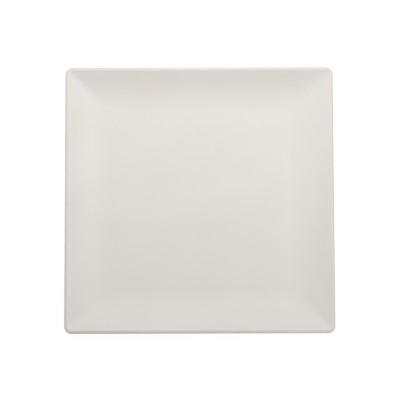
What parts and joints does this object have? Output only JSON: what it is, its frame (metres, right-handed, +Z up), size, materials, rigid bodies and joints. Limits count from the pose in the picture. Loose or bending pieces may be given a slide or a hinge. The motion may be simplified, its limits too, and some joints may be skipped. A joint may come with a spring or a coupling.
{
  "type": "square dinner plate",
  "caption": "Square dinner plate in matte-glazed stoneware, with a flat well, a shallow gutter, concave sloping walls, a slim rounded rim and a square foot ring with a bare sole.",
  "frame": {"origin": "middle of the plate, on the plane of the foot ring's sole", "axes": "+Z up and square to the well floor, +X and +Y square to the plate's sides"},
  "size_m": [0.267, 0.267, 0.0195],
  "materials": {
    "bare_stoneware": "fired, unglazed, fine sandy grain, wiped smooth at the foot",
    "matte_glaze": "warm off-white satin-matte glaze with a soft sheen"
  },
  "bodies": {
    "root": {"stoneware_body": "bare_stoneware", "glaze_coat": "matte_glaze", "recess_glaze": "matte_glaze"}
  },
  "joints": []
}
